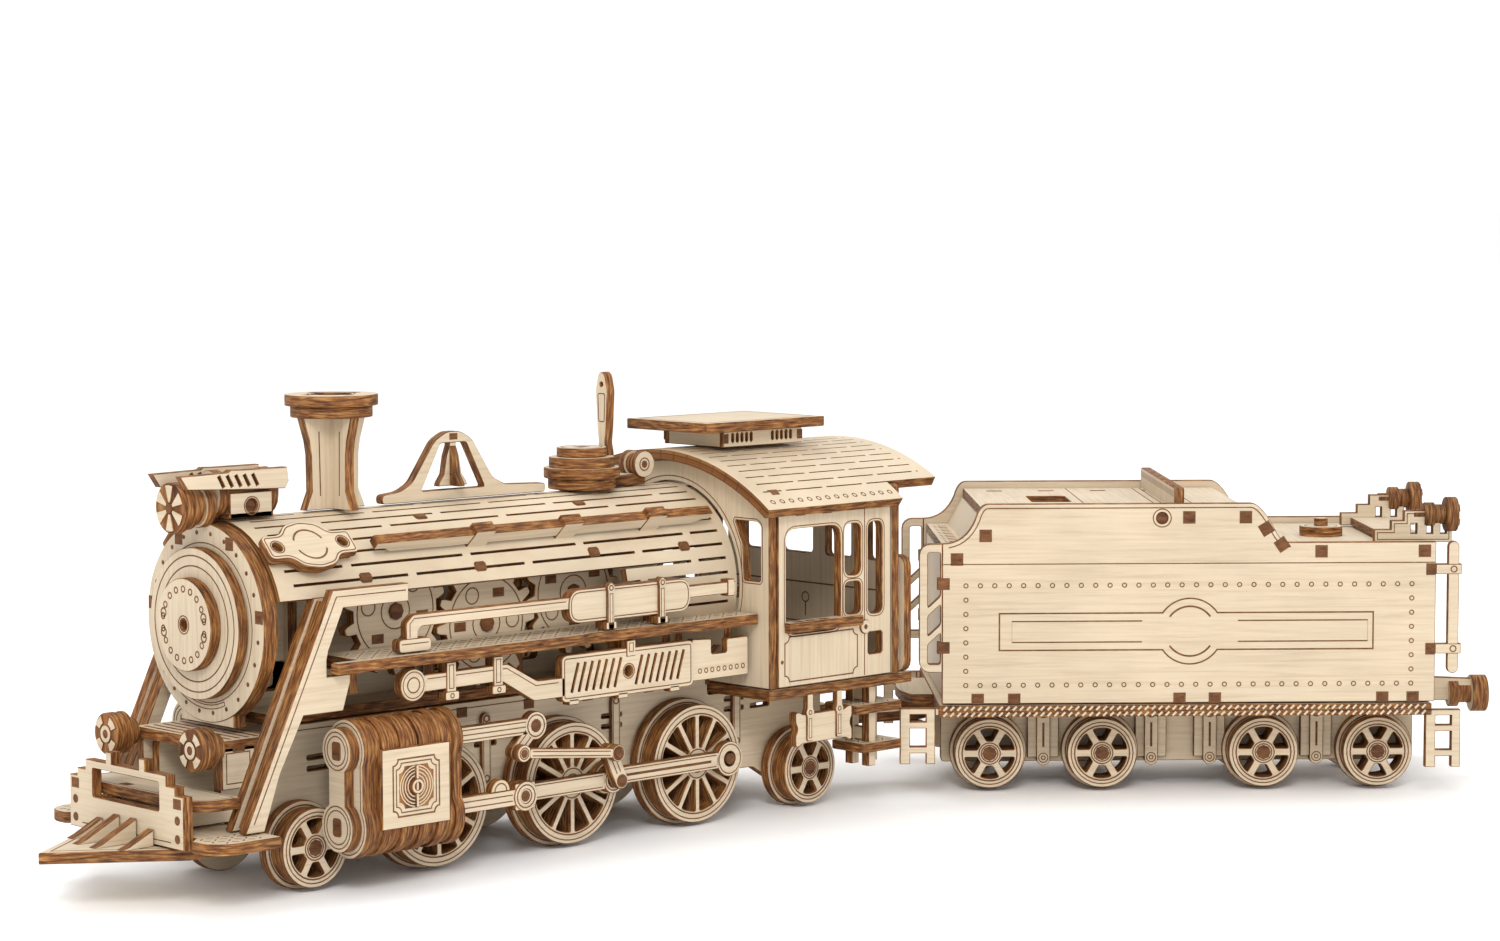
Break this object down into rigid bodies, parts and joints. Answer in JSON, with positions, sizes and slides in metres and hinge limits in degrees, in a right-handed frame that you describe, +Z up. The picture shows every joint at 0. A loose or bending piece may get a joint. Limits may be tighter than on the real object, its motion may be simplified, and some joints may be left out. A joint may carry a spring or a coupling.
{
  "type": "wooden steam locomotive puzzle model",
  "caption": "Laser-cut plywood model of a steam locomotive with rods, gears, open cab and a tender on a swinging drawbar.",
  "frame": {"origin": "middle of the whole model's footprint, on the surface its wheels stand on", "axes": "the locomotive points along -X, its pictured side faces -Y, +Z is up"},
  "size_m": [0.3042, 0.1316, 0.0875],
  "materials": {
    "ply_face": "unfinished birch plywood with darker laser-cut edges",
    "ply_engraved": "plywood with engraved lines and scorched edges"
  },
  "bodies": {
    "locomotive": {"air_tank_far": "ply_face", "air_tank_near": "ply_face", "bell_frame": "ply_face", "boiler_cradle": "ply_face", "boiler_jacket": "ply_face", "brace_far": "ply_face", "brace_near": "ply_face", "buffer_beam": "ply_face", "cab_floor": "ply_face", "cab_front": "ply_face", "cab_roof": "ply_face", "cab_side_far": "ply_face", "cab_side_near": "ply_face", "chimney": "ply_face", "cylinder_far": "ply_engraved", "cylinder_near": "ply_engraved", "frame_plate_far": "ply_face", "frame_plate_near": "ply_face", "front_deck": "ply_face", "front_step_board": "ply_face", "headlamp": "ply_face", "louvre_panel_far": "ply_face", "louvre_panel_near": "ply_face", "marker_lamp_far": "ply_engraved", "marker_lamp_near": "ply_engraved", "pilot": "ply_face", "pilot_frame": "ply_face", "roof_vent": "ply_face", "running_board_far": "ply_engraved", "running_board_near": "ply_engraved", "smokebox_door": "ply_face", "smokebox_front": "ply_face", "steam_dome": "ply_engraved", "whistle": "ply_engraved"},
    "leading_axle": {"leading_wheelset": "ply_face"},
    "driver_front": {"driver_wheelset_front": "ply_face"},
    "driver_middle": {"driver_wheelset_middle": "ply_face"},
    "driver_rear": {"driver_wheelset_rear": "ply_face"},
    "trailing_axle": {"trailing_wheelset": "ply_face"},
    "side_rod_near": {"side_rod_near": "ply_face"},
    "main_rod_near": {"main_rod_near": "ply_face"},
    "eccentric_rod_near": {"eccentric_rod_near": "ply_face"},
    "piston_near": {"piston_near": "ply_face"},
    "side_rod_far": {"side_rod_far": "ply_face"},
    "main_rod_far": {"main_rod_far": "ply_face"},
    "eccentric_rod_far": {"eccentric_rod_far": "ply_face"},
    "piston_far": {"piston_far": "ply_face"},
    "gear_front": {"gear_front": "ply_face"},
    "gear_middle": {"gear_middle": "ply_face"},
    "gear_rear": {"gear_rear": "ply_face"},
    "drawbar": {"drawbar": "ply_engraved"},
    "tender": {"tender_side_near": "ply_face", "tender_side_far": "ply_face", "tender_casing": "ply_face", "tender_lamps": "ply_engraved", "tender_chassis": "ply_face"},
    "tender_axle_1": {"tender_wheelset_1": "ply_face"},
    "tender_axle_2": {"tender_wheelset_2": "ply_face"},
    "tender_axle_3": {"tender_wheelset_3": "ply_face"},
    "tender_axle_4": {"tender_wheelset_4": "ply_face"}
  },
  "joints": [
    {"name": "leading_axle_spin", "type": "hinge", "parent": "locomotive", "child": "leading_axle", "pos_m": [-0.10655, 0.03524, 0.00785], "axis": [0, 1, 0], "continuous": true},
    {"name": "driver_front_spin", "type": "hinge", "parent": "locomotive", "child": "driver_front", "pos_m": [-0.07895, 0.03524, 0.0122], "axis": [0, 1, 0], "continuous": true},
    {"name": "driver_middle_spin", "type": "hinge", "parent": "locomotive", "child": "driver_middle", "pos_m": [-0.04725, 0.03524, 0.0122], "axis": [0, 1, 0], "continuous": true},
    {"name": "driver_rear_spin", "type": "hinge", "parent": "locomotive", "child": "driver_rear", "pos_m": [-0.01555, 0.03524, 0.0122], "axis": [0, 1, 0], "continuous": true},
    {"name": "trailing_axle_spin", "type": "hinge", "parent": "locomotive", "child": "trailing_axle", "pos_m": [0.01485, 0.03524, 0.00785], "axis": [0, 1, 0], "continuous": true},
    {"name": "side_rod_near_pivot", "type": "hinge", "parent": "driver_middle", "child": "side_rod_near", "pos_m": [-0.04077, 0.01714, 0.01265], "axis": [0, 1, 0], "continuous": true},
    {"name": "main_rod_near_pivot", "type": "hinge", "parent": "driver_middle", "child": "main_rod_near", "pos_m": [-0.04077, 0.01494, 0.01265], "axis": [0, 1, 0], "continuous": true},
    {"name": "eccentric_rod_near_pivot", "type": "hinge", "parent": "driver_middle", "child": "eccentric_rod_near", "pos_m": [-0.04345, 0.01053, 0.0184], "axis": [0, 1, 0], "continuous": true},
    {"name": "piston_near_slide", "type": "slide", "parent": "locomotive", "child": "piston_near", "axis": [1, 0, 0], "range_m": [-0.013, 0]},
    {"name": "side_rod_far_pivot", "type": "hinge", "parent": "driver_middle", "child": "side_rod_far", "pos_m": [-0.04077, 0.05334, 0.01265], "axis": [0, 1, 0], "continuous": true},
    {"name": "main_rod_far_pivot", "type": "hinge", "parent": "driver_middle", "child": "main_rod_far", "pos_m": [-0.04077, 0.05554, 0.01265], "axis": [0, 1, 0], "continuous": true},
    {"name": "eccentric_rod_far_pivot", "type": "hinge", "parent": "driver_middle", "child": "eccentric_rod_far", "pos_m": [-0.04345, 0.05994, 0.0184], "axis": [0, 1, 0], "continuous": true},
    {"name": "piston_far_slide", "type": "slide", "parent": "locomotive", "child": "piston_far", "axis": [1, 0, 0], "range_m": [-0.013, 0]},
    {"name": "gear_front_spin", "type": "hinge", "parent": "locomotive", "child": "gear_front", "pos_m": [-0.08435, 0.03524, 0.0472], "axis": [0, 1, 0], "continuous": true},
    {"name": "gear_middle_spin", "type": "hinge", "parent": "locomotive", "child": "gear_middle", "pos_m": [-0.06333, 0.03524, 0.0432], "axis": [0, 1, 0], "continuous": true},
    {"name": "gear_rear_spin", "type": "hinge", "parent": "locomotive", "child": "gear_rear", "pos_m": [-0.04231, 0.03524, 0.0472], "axis": [0, 1, 0], "continuous": true},
    {"name": "drawbar_swing", "type": "hinge", "parent": "locomotive", "child": "drawbar", "pos_m": [0.03165, 0.03524, 0.0138], "axis": [0, 0, 1], "range_deg": [0, 39.4]},
    {"name": "tender_swing", "type": "hinge", "parent": "drawbar", "child": "tender", "pos_m": [0.05353, 0.02742, 0.0138], "axis": [0, 0, 1], "range_deg": [0, 45.1]},
    {"name": "tender_axle_1_spin", "type": "hinge", "parent": "tender", "child": "tender_axle_1", "pos_m": [0.06426, 0.01766, 0.00785], "axis": [0.6726, 0.74, 0], "continuous": true},
    {"name": "tender_axle_2_spin", "type": "hinge", "parent": "tender", "child": "tender_axle_2", "pos_m": [0.08121, 0.00226, 0.00785], "axis": [0.6726, 0.74, 0], "continuous": true},
    {"name": "tender_axle_3_spin", "type": "hinge", "parent": "tender", "child": "tender_axle_3", "pos_m": [0.10555, -0.01987, 0.00785], "axis": [0.6726, 0.74, 0], "continuous": true},
    {"name": "tender_axle_4_spin", "type": "hinge", "parent": "tender", "child": "tender_axle_4", "pos_m": [0.12279, -0.03554, 0.00785], "axis": [0.6726, 0.74, 0], "continuous": true}
  ],
  "couplings": [
    {"joint": "driver_rear_spin", "follows": "driver_middle_spin", "ratio": 1},
    {"joint": "side_rod_near_pivot", "follows": "driver_middle_spin", "ratio": -1},
    {"joint": "main_rod_near_pivot", "follows": "driver_middle_spin", "ratio": -1},
    {"joint": "eccentric_rod_near_pivot", "follows": "driver_middle_spin", "ratio": -1},
    {"joint": "side_rod_far_pivot", "follows": "driver_middle_spin", "ratio": -1},
    {"joint": "main_rod_far_pivot", "follows": "driver_middle_spin", "ratio": -1},
    {"joint": "eccentric_rod_far_pivot", "follows": "driver_middle_spin", "ratio": -1},
    {"joint": "gear_middle_spin", "follows": "gear_front_spin", "ratio": -1},
    {"joint": "gear_rear_spin", "follows": "gear_front_spin", "ratio": 1}
  ]
}
